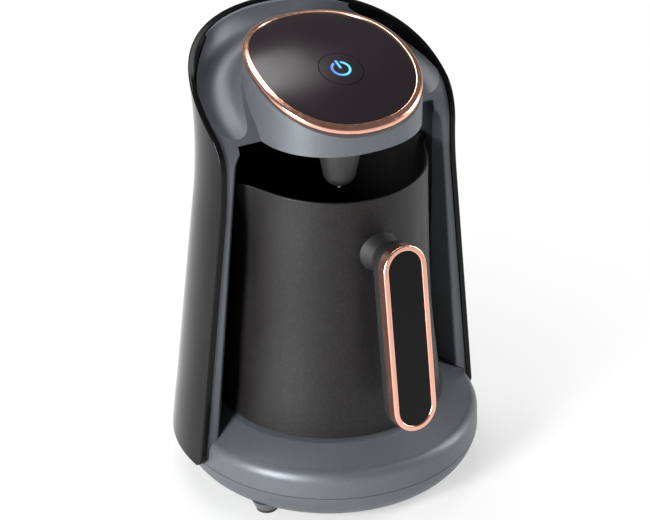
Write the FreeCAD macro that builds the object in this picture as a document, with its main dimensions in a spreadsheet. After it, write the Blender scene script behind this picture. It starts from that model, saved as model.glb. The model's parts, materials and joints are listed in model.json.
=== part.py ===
import FreeCAD, Part
import math
import os
import re
import Sketcher

# Electric coffee maker for small pots: a round base with a hot plate, a C-shaped column
# behind the pot, a head that reaches over the pot, and a lift-off pot with a side handle.
# Origin: centre of the base on the table. Front is -Y, up is +Z, sizes in millimetres.

os.makedirs("parts", exist_ok=True)
doc = FreeCAD.newDocument("coffee_maker")

SIZES = [
    ("seam_height", 20.0, "table to the joint between base pan and base cover"),
    ("base_radius", 80.0, "outer radius of the base at the joint"),
    ("base_wall", 2.5, "wall of the base mouldings"),
    ("pan_floor", 4.0, "table to the underside of the pan"),
    ("pan_bowl_width", 11.0, "width of the pan's bowl"),
    ("pan_flat_radius", "=base_radius - pan_bowl_width", "flat part of the pan's underside"),
    ("pan_curve", 22.0, "radius of the pan's bowl"),
    ("foot_inset", 14.0, "feet, distance in from the base's edge"),
    ("foot_circle", "=base_radius - foot_inset", "feet, distance from the centre"),
    ("foot_angle", 31.0, "feet, angle off the side axis"),
    ("foot_radius", 5.4, "rubber pad radius"),
    ("foot_pad_height", 2.0, "rubber pad height"),
    ("foot_boss_bottom", 6.2, "foot cone radius above its pad"),
    ("foot_boss_top", 8.5, "foot cone radius where it meets the pan"),
    ("foot_boss_depth", 5.0, "how far the foot cone runs up into the pan"),
    ("screw_circle", 46.0, "base screws, distance from the centre"),
    ("screw_head", 3.0, "screw head radius"),
    ("screw_shank", 1.6, "screw shank radius"),
    ("screw_length", 12.0, "screw shank length"),
    ("screw_clearance", 0.2, "gap round a screw head"),
    ("seam_gap", 0.3, "joint line between mouldings"),
    ("cover_side", 8.0, "height of the cover's upright side"),
    ("shoulder_height", "=seam_height + cover_side", "top of the cover's upright side"),
    ("shoulder_radius", 6.5, "rounding of the cover's shoulder"),
    ("shoulder_width", 5.0, "shoulder, width"),
    ("shoulder_rise", 6.7, "shoulder, height"),
    ("slope_start_radius", "=base_radius - shoulder_width", "cover slope, outer end"),
    ("slope_start_height", "=shoulder_height + shoulder_rise", "cover slope, outer end height"),
    ("slope_width", 14.0, "cover slope, width"),
    ("slope_rise", 6.9, "cover slope, rise"),
    ("slope_end_radius", "=slope_start_radius - slope_width", "cover slope, inner end"),
    ("slope_end_height", "=slope_start_height + slope_rise", "cover slope, inner end height"),
    ("plate_margin", 6.0, "cover slope's inner end to the hot plate"),
    ("plate_radius", "=slope_end_radius - plate_margin", "hot plate radius"),
    ("plate_rise", 1.6, "hot plate face above the cover slope"),
    ("plate_top", "=slope_end_height + plate_rise", "hot plate face above the table"),
    ("plate_lip", 0.6, "cover's inner lip below the hot plate face"),
    ("plate_thickness", 4.2, "hot plate thickness"),
    ("plate_gap", 0.4, "gap round the hot plate"),
    ("element_circle", 36.0, "heating element ring radius"),
    ("element_tube", 3.2, "heating element tube radius"),
    ("seat_depth", 10.0, "depth of the seat under the hot plate"),
    ("seat_inset", 3.0, "seat wall, distance in from the plate's edge"),
    ("seat_wall", 1.5, "wall of the seat and of the sensor cup"),
    ("seat_foot", 6.0, "width of the seat's foot"),
    ("assembly_gap", 0.05, "gap between pieces that are fixed together"),
    ("cap_radius", 8.5, "pot sensor cap radius"),
    ("cap_clearance", 0.4, "running gap round the pot sensor cap"),
    ("cap_travel", 2.0, "travel of the pot sensor cap"),
    ("cap_height", 6.0, "height of the cap's disc"),
    ("cap_stem", 8.0, "length of the cap's stem"),
    ("cap_stem_radius", 2.5, "radius of the cap's stem"),
    ("cup_radius", 13.0, "sensor cup radius"),
    ("cup_depth", 22.0, "sensor cup, plate face to its underside"),
    ("cup_hole", 3.0, "hole for the cap's stem"),
    ("spring_wire", 0.45, "sensor spring, wire radius"),
    ("spring_radius", 4.6, "sensor spring, coil radius"),
    ("spring_pitch", 2.4, "sensor spring, pitch"),
    ("fuse_radius", 2.2, "thermal fuse radius"),
    ("fuse_length", 16.0, "thermal fuse length"),
    ("fuse_place", 22.0, "thermal fuse, distance from the centre"),
    ("board_thickness", 1.6, "thickness of both boards"),
    ("board_length", 64.0, "power board length"),
    ("board_width", 38.0, "power board width"),
    ("board_inset", 34.0, "power board, its back edge to the base's edge"),
    ("board_lift", 5.0, "power board above the pan's floor"),
    ("post_radius", 2.4, "board post radius"),
    ("post_inset", 4.0, "board posts, distance in from the board's edges"),
    ("relay_length", 18.0, "relay length"),
    ("relay_width", 15.0, "relay width"),
    ("relay_height", 10.0, "height of the relay and the capacitor"),
    ("coil_length", 20.0, "transformer length"),
    ("coil_height", 11.0, "transformer height"),
    ("capacitor_radius", 4.0, "capacitor radius"),
    ("part_spacing", 6.0, "parts on the board, distance in from its edges"),
    ("cup_clearance", 1.5, "parts on the board behind the sensor cup"),
    ("terminal_length", 24.0, "terminal block length"),
    ("terminal_width", 9.0, "terminal block width and height"),
    ("terminal_gap", 3.0, "terminal block behind the power board"),
    ("pot_gap", 0.3, "pot above the hot plate, and sensor cap below the pot"),
    ("shell_offset", -2.0, "shell axis, Y"),
    ("shell_lift", 1.0, "lower edge of the shell above the base joint"),
    ("shell_bottom", "=seam_height + shell_lift", "lower edge of the shell"),
    ("shell_overhang", 4.7, "shell outside the base at its lower edge"),
    ("shell_foot_radius", "=base_radius + shell_overhang", "shell outer radius at its lower edge"),
    ("shell_draft", 14.7, "shell, how much it narrows to its waist"),
    ("shell_waist_radius", "=shell_foot_radius - shell_draft", "shell outer radius at its waist"),
    ("shell_flare", 290.0, "radius of the flare's arc"),
    ("shell_flare_width", 4.0, "shell, how much it widens above its waist"),
    ("shell_top_radius", "=shell_waist_radius + shell_flare_width", "shell radius above its rim"),
    ("shell_wall", 3.0, "shell wall"),
    ("shell_front", -13.0, "front edge of the shell, Y"),
    ("shell_corner", 6.0, "rounding of the lower front corner"),
    ("shell_edge", 0.9, "rounding of the shell's outer edge"),
    ("rim_bend", 26.0, "radius of the rim's bend"),
    ("rim_turn", 55.0, "turn of the rim's bend in degrees"),
    ("rim_sweep", 194.0, "radius of the rim's long sweep"),
    ("rim_sweep_turn", 25.0, "turn of the rim's long sweep in degrees"),
    ("bezel_gap", 0.4, "gap between shell and bezel"),
    ("bezel_drop", 0.8, "bezel behind and below the shell's rim"),
    ("bezel_round", 1.8, "rounding of the bezel strip towards the bay"),
    ("pot_overhang", 4.0, "pot's bottom outside the hot plate"),
    ("pot_foot_radius", "=plate_radius + pot_overhang", "pot radius at its bottom"),
    ("pot_mid_draft", 6.7, "how much the pot narrows to mid height"),
    ("pot_mid_radius", "=pot_foot_radius - pot_mid_draft", "pot radius at mid height"),
    ("pot_draft", 8.5, "how much the pot narrows to its rim"),
    ("pot_rim_radius", "=pot_foot_radius - pot_draft", "pot radius at the rim"),
    ("pot_height", 130.0, "pot height at the front"),
    ("pot_rim_height", "=plate_top + pot_gap + pot_height", "pot rim above the table"),
    ("pot_wall", 1.5, "pot wall"),
    ("pot_floor", 2.5, "pot floor"),
    ("pot_lip", 0.5, "rounding of the pot's rim"),
    ("spout_reach", 6.0, "how far each spout stands out"),
    ("spout_rise", 3.0, "rim at the spouts above the rim at the front"),
    ("spout_depth", 26.0, "how far down from the rim the spouts start"),
    ("head_clearance", 24.0, "pot rim to the underside of the head"),
    ("arch_top", "=pot_rim_height + head_clearance", "roof of the pot bay and underside of the head"),
    ("waist_drop", 37.5, "shell waist below the roof of the bay"),
    ("shell_waist_height", "=arch_top - waist_drop", "height where the flare starts"),
    ("shell_rise", 45.5, "height above the bay's roof that clears the shell's rim"),
    ("shell_top", "=arch_top + shell_rise", "height above every part of the shell's rim"),
    ("rim_drop", 12.5, "start of the rim's sweep below the bay's roof"),
    ("rim_bend_height", "=arch_top - rim_drop", "height where the rim starts to sweep back"),
    ("strip_top_width", 11.0, "shell's waist to the bay's mouth"),
    ("strip_foot_width", 8.7, "shell's lower edge to the bay's mouth at the table"),
    ("arch_half_top", "=shell_waist_radius - strip_top_width", "half width of the bay's mouth at its top"),
    ("arch_half_foot", "=shell_foot_radius - strip_foot_width", "half width of the bay's mouth at the table"),
    ("arch_corner", 11.0, "rounding of the mouth's top corners"),
    ("mouth_depth", 14.0, "depth of the mouth's inward taper"),
    ("mouth_taper", 8.0, "how far the mouth narrows over that depth"),
    ("bay_clearance", 7.0, "pot bay outside the pot's bottom"),
    ("bay_foot_radius", "=pot_foot_radius + bay_clearance", "pot bay radius at the table"),
    ("bay_top_clearance", 6.5, "pot bay outside the pot's rim"),
    ("bay_top_radius", "=pot_rim_radius + bay_top_clearance", "pot bay radius at its roof"),
    ("bay_wall", 2.4, "wall round the back of the pot bay"),
    ("back_open", 8.0, "Y behind which the column is open inside"),
    ("liner_wall", 1.5, "liner wall"),
    ("liner_gap", 0.1, "gap between liner and bay"),
    ("liner_front", 6.0, "front edge of the liner, Y"),
    ("egg_half_width", 39.9, "top panel half width"),
    ("egg_widest", -6.0, "Y of the panel's widest place"),
    ("egg_front", 37.2, "panel, widest place to front tip"),
    ("egg_back", 45.9, "panel, widest place to back tip"),
    ("ring_width", 3.4, "width of the copper coloured ring"),
    ("ring_height", 3.4, "depth of the ring"),
    ("ring_proud", 0.7, "ring above the panel"),
    ("ring_round", 1.4, "rounding of the ring's outer edge"),
    ("ring_round_in", 0.5, "rounding of the ring's inner edge"),
    ("head_wall", 2.4, "head wall"),
    ("head_height", 30.9, "dome datum above the underside of the head"),
    ("dome_y", -12.0, "dome datum, Y"),
    ("dome_height", "=arch_top + head_height", "dome datum, height"),
    ("dome_tilt", 20.5, "dome tilt at the datum in degrees"),
    ("dome_long", 145.0, "dome radius front to back"),
    ("dome_cross", 350.0, "dome radius side to side"),
    ("scoop_clearance", 12.7, "ring to the middle of the scoop's section"),
    ("scoop_ring", "=egg_half_width + ring_width + scoop_clearance", "scoop round the head, ring radius"),
    ("scoop_radius", 14.0, "scoop round the head, section radius"),
    ("scoop_lift", 11.0, "scoop section centre above the rim's bend"),
    ("scoop_y", -1.0, "scoop centre, Y"),
    ("scoop_tilt", 20.0, "tilt of the scoop in degrees"),
    ("panel_gap", 0.15, "gap round the top panel"),
    ("panel_thickness", 2.6, "top panel thickness"),
    ("button_radius", 11.2, "button radius"),
    ("button_gap", 0.4, "gap round the button"),
    ("button_travel", 1.5, "button travel"),
    ("button_depth", 4.0, "button depth"),
    ("symbol_radius", 4.6, "power symbol ring, middle radius"),
    ("symbol_line", 1.2, "power symbol line width"),
    ("symbol_depth", 1.6, "power symbol depth"),
    ("switch_gap", 0.4, "pressed button to the switch"),
    ("switch_size", 6.0, "switch length and width"),
    ("switch_height", 3.6, "switch height"),
    ("control_length", 50.0, "control board length"),
    ("control_width", 44.0, "control board width"),
    ("buzzer_radius", 6.0, "buzzer radius"),
    ("buzzer_height", 4.5, "buzzer height"),
    ("buzzer_gap", 3.0, "buzzer beside the button"),
    ("nose_x", -13.0, "level sensor, X"),
    ("nose_y", -33.0, "level sensor, Y"),
    ("nose_radius", 11.0, "level sensor radius at the head"),
    ("nose_drop", 20.0, "how far the level sensor hangs down"),
    ("nose_hole", 9.0, "hole in the head for the level sensor"),
    ("nose_pin", 0.8, "level sensor's pin radius"),
    ("handle_width", 24.4, "handle width"),
    ("handle_length", 98.6, "handle length"),
    ("handle_reach", 22.6, "handle face centre in front of the pot's foot"),
    ("handle_face_y", "=-(pot_foot_radius + handle_reach)", "handle face centre, Y"),
    ("handle_tilt", 9.5, "handle lean in degrees"),
    ("handle_rim", 2.9, "handle frame, width of its front"),
    ("handle_frame_depth", 6.0, "handle frame depth"),
    ("handle_back_depth", 8.0, "handle back depth"),
    ("handle_back_round", 4.0, "rounding of the handle's back"),
    ("handle_edge", 0.8, "rounding of the handle frame's front edges"),
    ("handle_fit", 0.1, "gap round the handle insert"),
    ("insert_sink", 0.5, "handle insert below the frame's front"),
    ("neck_drop", 29.5, "handle neck axis below the pot rim"),
    ("neck_height", "=pot_rim_height - neck_drop", "handle neck axis above the table"),
    ("handle_drop", 35.1, "handle face centre below the neck axis"),
    ("handle_face_z", "=neck_height - handle_drop", "handle face centre, height"),
    ("neck_foot_radius", 11.5, "handle neck radius at the pot"),
    ("neck_waist_radius", 8.2, "handle neck radius at its waist"),
    ("neck_flare", 6.5, "length of the neck's flare outside the pot's rim"),
    ("neck_length", 17.5, "length of the neck outside the pot's rim"),
    ("inlet_lift", 8.0, "cord inlet axis above the pan's underside"),
    ("inlet_height", "=pan_floor + inlet_lift", "cord inlet axis above the table"),
    ("inlet_radius", 6.0, "cord inlet outer radius"),
    ("inlet_length", 14.0, "cord inlet length"),
    ("inlet_flange", 1.5, "cord inlet's flange outside its tube"),
    ("inlet_clearance", 0.15, "gap round the cord inlet"),
    ("cord_radius", 3.3, "cord hole radius"),
]
NAMES = [name for name, value, note in SIZES]

sheet = doc.addObject("Spreadsheet::Sheet", "Sizes")
for row, (name, value, note) in enumerate(SIZES, start=1):
    sheet.set(f"A{row}", note)
    sheet.setAlias(f"B{row}", name)
for row, (name, value, note) in enumerate(SIZES, start=1):
    sheet.set(f"B{row}", str(value))
doc.recompute()

PLANES = {"top": "XY_Plane", "front": "XZ_Plane", "side": "YZ_Plane"}
SUBPARTS = {}


def bound(text):
    """The text of a size formula with every name pointing at the sheet."""
    return re.sub(r"[a-z_]{3,}", lambda m: "Sizes." + m[0] if m[0] in NAMES else m[0], str(text))


def size(text):
    """The value of a size formula in millimetres or degrees."""
    return float(sheet.evalExpression(bound(text)))


def bind(obj, **formulas):
    """Set properties of an object from size formulas."""
    for prop, formula in formulas.items():
        obj.setExpression(prop.replace("__", "."), bound(formula))
    return obj


def keep(obj, node):
    """Make an object a sub-part with the given name."""
    obj.Label = node
    SUBPARTS[node] = obj
    return obj


def new_sketch(body, plane):
    """A sketch on one of the body's own origin planes."""
    sketch = body.newObject("Sketcher::SketchObject", body.Name + "_sketch")
    support = next(f for f in body.Origin.OriginFeatures if f.Role == PLANES[plane])
    sketch.AttachmentSupport = [(support, "")]
    sketch.MapMode = "FlatFace"
    return sketch


def pin(sketch, geo, end, place):
    """Hold one end of a sketch line at a place given by two formulas."""
    for kind, axis, formula in (("DistanceX", -2, place[0]), ("DistanceY", -1, place[1])):
        if str(formula) == "0":
            sketch.addConstraint(Sketcher.Constraint("PointOnObject", geo, end, axis))
            continue
        index = sketch.addConstraint(Sketcher.Constraint(kind, -1, 1, geo, end, size(formula)))
        sketch.setExpression(f"Constraints[{index}]", bound(formula))


def outline(sketch, points):
    """Draw a closed outline. A point is (x, y), or (x, y, radius, turn) at the end of an arc."""
    count = len(points)
    spots = [FreeCAD.Vector(size(p[0]), size(p[1]), 0) for p in points]
    lines = []
    for k in range(count):
        start, end, spec = spots[k - 1], spots[k], points[k]
        if len(spec) == 2:
            geo = sketch.addGeometry(Part.LineSegment(start, end), False)
            lines.append((geo, 1, 2))
            continue
        radius = size(spec[2])
        left = spec[3] == "left"
        chord = end - start
        normal = FreeCAD.Vector(-chord.y, chord.x, 0) * (1.0 / chord.Length)
        rise = math.sqrt(radius ** 2 - chord.Length ** 2 / 4.0)
        centre = (start + end) * 0.5 + normal * (rise if left else -rise)
        first, last = (start, end) if left else (end, start)
        a0 = math.atan2(first.y - centre.y, first.x - centre.x)
        a1 = math.atan2(last.y - centre.y, last.x - centre.x)
        circle = Part.Circle(centre, FreeCAD.Vector(0, 0, 1), radius)
        geo = sketch.addGeometry(Part.ArcOfCircle(circle, a0, a1), False)
        index = sketch.addConstraint(Sketcher.Constraint("Radius", geo, radius))
        sketch.setExpression(f"Constraints[{index}]", bound(spec[2]))
        lines.append((geo, 1, 2) if left else (geo, 2, 1))
    for k in range(count):
        before, after = lines[k], lines[(k + 1) % count]
        sketch.addConstraint(Sketcher.Constraint("Coincident", before[0], before[2], after[0], after[1]))
        pin(sketch, before[0], before[2], points[k])


def turned(name, points, plane="front"):
    """A body turned about the vertical axis from a closed outline of (radius, height)."""
    body = doc.addObject("PartDesign::Body", name)
    sketch = new_sketch(body, plane)
    outline(sketch, points)
    turn = body.newObject("PartDesign::Revolution", name + "_turn")
    turn.Profile = sketch
    turn.ReferenceAxis = (sketch, ["V_Axis"])
    turn.Angle = 360.0
    return body


def padded(name, plane, points, length, middle=False, back=False):
    """A body padded from a closed outline."""
    body = doc.addObject("PartDesign::Body", name)
    sketch = new_sketch(body, plane)
    outline(sketch, points)
    pad = body.newObject("PartDesign::Pad", name + "_pad")
    pad.Profile = sketch
    bind(pad, Length=length)
    pad.Midplane = middle
    pad.Reversed = back
    return body


def cylinder(name, radius, height, **place):
    """An upright cylinder from formulas."""
    rod = doc.addObject("Part::Cylinder", name)
    bind(rod, Radius=radius, Height=height)
    return put(rod, **place)


def block(name, length, width, height, **place):
    """A box from formulas."""
    box = doc.addObject("Part::Box", name)
    bind(box, Length=length, Width=width, Height=height)
    return put(box, **place)


def put(obj, x="0", y="0", z="0", turn=None):
    """Place an object from formulas; turn is (axis vector, angle formula)."""
    if turn:
        obj.Placement.Rotation = FreeCAD.Rotation(FreeCAD.Vector(*turn[0]), size(turn[1]))
    bind(obj, Placement__Base__x=x, Placement__Base__y=y, Placement__Base__z=z)
    return obj


def cut(name, base, *tools):
    """The base with every tool cut away."""
    for k, tool in enumerate(tools):
        step = doc.addObject("Part::Cut", f"{name}_{k}")
        step.Base = base
        step.Tool = tool
        base = step
    return base


def fuse(name, *shapes):
    """Several shapes joined to one."""
    joined = doc.addObject("Part::MultiFuse", name)
    joined.Shapes = list(shapes)
    return joined


def common(name, *shapes):
    """What several shapes share."""
    shared = doc.addObject("Part::MultiCommon", name)
    shared.Shapes = list(shapes)
    return shared


def fixed(name, shape):
    """An object that holds a computed shape."""
    feature = doc.addObject("Part::Feature", name)
    feature.Shape = shape
    return feature


TOUCH = 0.002


def shared_edges(shape, *skins):
    """The edges of a shape whose middle lies on the surface of every one of the skins."""
    found = []
    for edge in shape.Edges:
        middle = edge.valueAt((edge.FirstParameter + edge.LastParameter) / 2)
        spot = Part.Vertex(middle)
        if all(skin.Shells[0].distToShape(spot)[0] < TOUCH for skin in skins):
            found.append(edge)
    return found


# Base pan: a shallow bowl with four foot cones, screw holes and the cord inlet's hole.
def foot_places():
    """The centres of the feet: four near the edge and one in the middle, under the hot plate."""
    reach, angle = size("foot_circle"), math.radians(size("foot_angle"))
    across, along = reach * math.cos(angle), reach * math.sin(angle)
    return [(sx * across, sy * along) for sx, sy in ((-1, -1), (1, -1), (1, 1), (-1, 1), (0, 0))]


def screw_places():
    """The centres of the three base screws."""
    reach = size("screw_circle")
    return [(reach * math.cos(math.radians(turn)), reach * math.sin(math.radians(turn)))
            for turn in (-90.0, 30.0, 150.0)]


def base_pan():
    """The lower pan of the base."""
    bowl = turned("pan_bowl", [
        ("0", "pan_floor"),
        ("pan_flat_radius", "pan_floor"),
        ("base_radius", "seam_height", "pan_curve", "left"),
        ("base_radius - base_wall", "seam_height"),
        ("pan_flat_radius - base_wall / 2", "pan_floor + base_wall", "pan_curve - base_wall", "right"),
        ("0", "pan_floor + base_wall"),
    ])
    cones = []
    for k, (x, y) in enumerate(foot_places()):
        cone = doc.addObject("Part::Cone", f"foot_cone_{k}")
        bind(cone, Radius1="foot_boss_bottom", Radius2="foot_boss_top", Height="foot_boss_depth")
        put(cone, x, y, "foot_pad_height")
        cones.append(cone)
    holes = []
    for k, (x, y) in enumerate(screw_places()):
        holes.append(cylinder(f"pan_hole_{k}", "screw_head + screw_clearance", "2 * base_wall",
                              x=x, y=y, z="pan_floor - base_wall / 2"))
    inlet = cylinder("inlet_hole", "inlet_radius + inlet_clearance", "1.5 * inlet_length",
                     y="base_radius + inlet_length / 3", z="inlet_height", turn=((1, 0, 0), "90"))
    recess = cylinder("inlet_recess", "inlet_radius + inlet_flange + inlet_clearance", "base_wall * 2",
                      y="base_radius + base_wall + assembly_gap", z="inlet_height", turn=((1, 0, 0), "90"))
    keep(cut("pan_cut", fuse("pan_fuse", bowl, *cones), inlet, recess, *holes), "base_pan")


def foot_pads():
    """The rubber pads under the foot cones."""
    pads = [cylinder(f"pad_{k}", "foot_radius", "foot_pad_height", x=x, y=y)
            for k, (x, y) in enumerate(foot_places())]
    keep(fuse("pads", *pads), "foot_pads")


def base_screws():
    """Three screws that hold the pan to the cover."""
    screws = []
    for k, (x, y) in enumerate(screw_places()):
        head = cylinder(f"screw_head_{k}", "screw_head", "base_wall",
                        x=x, y=y, z="pan_floor + screw_clearance")
        shank = cylinder(f"screw_shank_{k}", "screw_shank", "screw_length",
                         x=x, y=y, z="pan_floor + base_wall")
        screws.append(fuse(f"screw_{k}", head, shank))
    keep(fuse("screws", *screws), "base_screws")


def cover_profile(gap):
    """The cover's outer outline from its lower edge to the hot plate, at a gap outside it."""
    return [
        (f"base_radius + {gap}", "seam_height + seam_gap"),
        (f"base_radius - seam_gap + {gap}", "shoulder_height"),
        (f"slope_start_radius + {gap}", f"slope_start_height + {gap}", "shoulder_radius", "left"),
        (f"slope_end_radius + {gap}", f"slope_end_height + {gap}"),
        (f"plate_radius + plate_margin / 3 + {gap}", f"plate_top - plate_lip + {gap}"),
        ("plate_radius + plate_gap", f"plate_top - plate_lip + {gap}"),
    ]


def base_cover():
    """The upper cover of the base, with its rounded shoulder and the opening for the hot plate."""
    points = cover_profile("0") + [
        ("plate_radius + plate_gap", "plate_top - plate_lip - base_wall"),
        ("slope_end_radius - base_wall / 2", "slope_end_height - base_wall"),
        ("slope_start_radius - base_wall / 2", "slope_start_height - base_wall"),
        ("base_radius - base_wall - seam_gap", "shoulder_height - base_wall / 2"),
        ("base_radius - base_wall", "seam_height + seam_gap"),
    ]
    keep(turned("cover", points), "base_cover")


def base_envelope(name):
    """The space that the column leaves for the base."""
    points = [("0", "0"), ("base_radius + seam_gap", "0")] + cover_profile("seam_gap")
    return turned(name, points + [("0", "plate_top - plate_lip + seam_gap")])


def hot_plate():
    """Hot plate with its element, seat, pot sensor and thermal fuse."""
    low = "plate_top - plate_thickness"
    keep(turned("plate", [
        ("cap_radius + cap_clearance", low),
        ("plate_radius - 2 * plate_lip", low),
        ("plate_radius", f"{low} + 2 * plate_lip"),
        ("plate_radius", "plate_top - plate_lip"),
        ("plate_radius - plate_lip", "plate_top"),
        ("cap_radius + cap_clearance", "plate_top"),
    ]), "heating_plate")
    ring = doc.addObject("Part::Torus", "element")
    bind(ring, Radius1="element_circle", Radius2="element_tube", Angle3="330")
    put(ring, z=f"{low} - element_tube - assembly_gap", turn=((0, 0, 1), "105"))
    keep(ring, "heating_element")
    seat = "plate_radius - seat_inset"
    keep(turned("seat", [
        (f"{seat} - seat_foot", f"{low} - seat_depth"),
        (seat, f"{low} - seat_depth"),
        (seat, f"{low} - assembly_gap"),
        (f"{seat} - seat_wall", f"{low} - assembly_gap"),
        (f"{seat} - seat_wall", f"{low} - seat_depth + seat_wall"),
        (f"{seat} - seat_foot", f"{low} - seat_depth + seat_wall"),
    ]), "plate_seat")
    face = "plate_top - pot_gap / 2"
    keep(turned("cap", [
        ("0", f"{face} - cap_height - cap_stem"),
        ("cap_stem_radius", f"{face} - cap_height - cap_stem"),
        ("cap_stem_radius", f"{face} - cap_height"),
        ("cap_radius", f"{face} - cap_height"),
        ("cap_radius", f"{face} - plate_lip"),
        ("cap_radius - plate_lip", face),
        ("0", face),
    ]), "pot_sensor_cap")
    keep(turned("cup", [
        ("cup_hole", "plate_top - cup_depth"),
        ("cup_radius", "plate_top - cup_depth"),
        ("cup_radius", f"{low} - assembly_gap"),
        ("cup_radius - seat_wall", f"{low} - assembly_gap"),
        ("cup_radius - seat_wall", "plate_top - cup_depth + seat_wall"),
        ("cup_hole", "plate_top - cup_depth + seat_wall"),
    ]), "sensor_cup")
    thermal = cylinder("fuse_body", "fuse_radius", "fuse_length", x="-fuse_length / 2", y="fuse_place",
                       z=f"{low} - fuse_radius - assembly_gap", turn=((0, 1, 0), "90"))
    keep(thermal, "thermal_fuse")


def sensor_spring():
    """The spring that holds the pot sensor cap up against the pot."""
    radius, wire = size("spring_radius"), size("spring_wire")
    low = size("plate_top - cup_depth + seat_wall + assembly_gap") + wire
    high = size("plate_top - pot_gap / 2 - cap_height - assembly_gap") - wire
    helix = Part.makeHelix(size("spring_pitch"), high - low, radius)
    ring = Part.Wire(Part.makeCircle(wire, FreeCAD.Vector(radius, 0, 0), FreeCAD.Vector(0, 1, 0)))
    spring = fixed("spring", Part.Wire(helix.Edges).makePipeShell([ring], True, True))
    spring.Placement.Base.z = low
    keep(spring, "sensor_spring")


def electrics():
    """Power board with its parts, terminal block and cord inlet, all in the base."""
    floor = "pan_floor + base_wall"
    back = "base_radius - board_inset"
    board = block("board", "board_length", "board_width", "board_thickness",
                  x="-board_length / 2", y=f"{back} - board_width", z=f"{floor} + board_lift")
    spots = [(f"{side}(board_length / 2 - post_inset)", f"{back} - {inset}")
             for side in ("-", "") for inset in ("post_inset", "(board_width - post_inset)")]
    posts = [cylinder(f"post_{k}", "post_radius", "board_lift", x=x, y=y, z=floor)
             for k, (x, y) in enumerate(spots)]
    keep(board, "power_board")
    keep(fuse("posts", *posts), "board_posts")
    top = f"{floor} + board_lift + board_thickness"
    front = "cup_radius + cup_clearance"
    relay = block("relay", "relay_length", "relay_width", "relay_height",
                  x="part_spacing - board_length / 2", y=front, z=top)
    coil = block("transformer", "coil_length", "relay_width", "coil_height",
                 x="part_spacing / 2", y=front, z=top)
    capacitor = cylinder("capacitor", "capacitor_radius", "relay_height",
                         x="-2 * part_spacing", y=f"{back} - part_spacing", z=top)
    keep(fuse("components", relay, coil, capacitor), "board_components")
    keep(block("terminals", "terminal_length", "terminal_width", "terminal_width",
               x="-terminal_length / 2", y=f"{back} + terminal_gap", z=floor), "terminal_block")
    outer = "base_radius + inlet_flange"
    turn = ((1, 0, 0), "90")
    tube = cylinder("inlet_tube", "inlet_radius", "inlet_length", y=outer, z="inlet_height", turn=turn)
    flange = cylinder("inlet_flange", "inlet_radius + inlet_flange", "2 * inlet_flange", y=outer,
                      z="inlet_height", turn=turn)
    bore = cylinder("inlet_bore", "cord_radius", "2 * inlet_length", y=f"{outer} + inlet_length / 2",
                    z="inlet_height", turn=turn)
    keep(cut("inlet_cut", fuse("inlet", tube, flange), bore), "cord_inlet")


def shell_solid(name, inset, bottom):
    """The flared column turned from the shell's outline, at an inset inside it."""
    body = turned(name, [
        ("0", bottom),
        (f"shell_foot_radius - ({inset})", bottom),
        (f"shell_waist_radius - ({inset})", "shell_waist_height"),
        (f"shell_top_radius - ({inset})", "shell_top", f"shell_flare + ({inset})", "right"),
        ("0", "shell_top"),
    ])
    return put(body, y="shell_offset")


def behind_rim(name, drop, bottom):
    """Everything behind and below the rim line, set back by a drop."""
    bend_y = f"shell_front + {drop} + rim_bend * (1 - cos(rim_turn))"
    bend_z = f"rim_bend_height - {drop} + rim_bend * sin(rim_turn)"
    chord = "2 * rim_sweep * sin(rim_sweep_turn / 2)"
    slope = "(90 - rim_turn - rim_sweep_turn / 2)"
    return padded(name, "side", [
        ("1.5 * shell_foot_radius", bottom),
        (f"{bend_y} + {chord} * cos{slope}", f"{bend_z} + {chord} * sin{slope}"),
        (bend_y, bend_z, "rim_sweep", "left"),
        (f"shell_front + {drop}", f"rim_bend_height - {drop}", "rim_bend", "left"),
        (f"shell_front + {drop}", f"{bottom} + shell_corner"),
        (f"shell_front + {drop} + shell_corner", bottom, "shell_corner", "left"),
    ], "3 * shell_foot_radius", middle=True)


def outer_shell():
    """The glossy shell that wraps the sides, back and top edge of the column."""
    outer = shell_solid("shell_outer", "0", "shell_bottom")
    inner = shell_solid("shell_inner", "shell_wall", "shell_bottom - shell_lift")
    front = behind_rim("shell_keep", "0", "shell_bottom - shell_lift / 2")
    hollow = cut("shell_cut", common("shell_trim", outer, front), inner, base_envelope("shell_base"))
    doc.recompute()
    rim = shared_edges(hollow.Shape, outer.Shape, front.Shape)
    keep(fixed("shell_round", hollow.Shape.makeFillet(size("shell_edge"), rim)), "outer_shell")


CORNER_ARC = "arch_corner * 1.12"


def arch_points(inset):
    """The mouth of the pot bay: tapered sides, rounded top corners."""
    slope = "((arch_half_foot - arch_half_top) / arch_top)"
    side = f"arch_half_top - {inset} + arch_corner * {slope}"
    return [
        (f"-(arch_half_foot - {inset})", "0"),
        (f"arch_half_foot - {inset}", "0"),
        (side, "arch_top - arch_corner"),
        (f"arch_half_top - {inset} - arch_corner", "arch_top", CORNER_ARC, "left"),
        (f"-(arch_half_top - {inset} - arch_corner)", "arch_top"),
        (f"-({side})", "arch_top - arch_corner", CORNER_ARC, "left"),
    ]


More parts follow.
